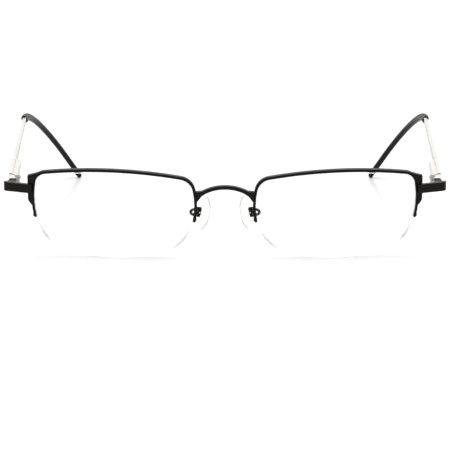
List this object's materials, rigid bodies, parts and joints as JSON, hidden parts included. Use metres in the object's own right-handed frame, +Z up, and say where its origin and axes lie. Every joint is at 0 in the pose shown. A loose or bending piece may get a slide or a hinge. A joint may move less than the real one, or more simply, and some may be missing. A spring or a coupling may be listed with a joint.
{
  "type": "half rim eyeglasses",
  "caption": "Half rim eyeglasses: metal brow eyewires, cord-held clear lenses, adjustable nose pads and temples folding on spring hinges.",
  "frame": {"origin": "centre of the footprint on the floor, standing open on the lower edges of the lenses and the ends of the tips", "axes": "+X to the wearer's left, +Y back towards the wearer's ears, +Z up; the front faces -Y"},
  "size_m": [0.141, 0.1375, 0.0285],
  "materials": {
    "black_metal": "satin black lacquer on nickel silver",
    "steel": "brushed, slightly warm",
    "tip": "satin black acetate",
    "lens": "clear, uncoated look",
    "nylon": "clear nylon",
    "silicone": "translucent silicone",
    "insert": "clear hard plastic"
  },
  "bodies": {
    "front": {"bridge": "black_metal", "rim_right": "black_metal", "liner_right": "nylon", "cord_right": "nylon", "lens_right": "lens", "plate_right": "black_metal", "end_bar_right": "black_metal", "end_return_right": "steel", "hinge_block_right": "steel", "hinge_screw_right": "steel", "pad_arm_right": "black_metal", "pad_box_right": "black_metal", "pad_screw_right": "steel", "rim_left": "black_metal", "liner_left": "nylon", "cord_left": "nylon", "lens_left": "lens", "plate_left": "black_metal", "end_bar_left": "black_metal", "end_return_left": "steel", "hinge_block_left": "steel", "hinge_screw_left": "steel", "pad_arm_left": "black_metal", "pad_box_left": "black_metal", "pad_screw_left": "steel"},
    "carriage_right": {"carriage_right": "steel", "stop_ring_right": "steel", "spring_right": "steel"},
    "temple_right": {"housing_right": "steel", "temple_right": "steel", "tip_right": "tip"},
    "pad_right": {"pad_insert_right": "insert", "nose_pad_right": "silicone"},
    "carriage_left": {"carriage_left": "steel", "stop_ring_left": "steel", "spring_left": "steel"},
    "temple_left": {"housing_left": "steel", "temple_left": "steel", "tip_left": "tip"},
    "pad_left": {"pad_insert_left": "insert", "nose_pad_left": "silicone"}
  },
  "joints": [
    {"name": "fold_right", "type": "hinge", "parent": "front", "child": "carriage_right", "pos_m": [-0.0643, -0.05313, 0.02206], "axis": [0, 0.0592, -0.9982], "range_deg": [-8, 90.25]},
    {"name": "spring_right", "type": "slide", "parent": "carriage_right", "child": "temple_right", "axis": [-0.0323, 0.9977, 0.0591], "range_m": [0, 0.0012], "stiffness_N_per_m": 800, "springref_m": -0.0005, "deforming": ["spring_right"]},
    {"name": "pad_rock_right", "type": "hinge", "parent": "front", "child": "pad_right", "pos_m": [-0.0081, -0.05946, 0.01342], "axis": [0.5, -0.8577, -0.1197], "range_deg": [-8, 8]},
    {"name": "fold_left", "type": "hinge", "parent": "front", "child": "carriage_left", "pos_m": [0.0643, -0.05313, 0.02206], "axis": [0, -0.0592, 0.9982], "range_deg": [-8, 82.75]},
    {"name": "spring_left", "type": "slide", "parent": "carriage_left", "child": "temple_left", "axis": [0.0323, 0.9977, 0.0591], "range_m": [0, 0.0012], "stiffness_N_per_m": 800, "springref_m": -0.0005, "deforming": ["spring_left"]},
    {"name": "pad_rock_left", "type": "hinge", "parent": "front", "child": "pad_left", "pos_m": [0.0081, -0.05946, 0.01342], "axis": [-0.5, -0.8577, -0.1197], "range_deg": [-8, 8]}
  ]
}
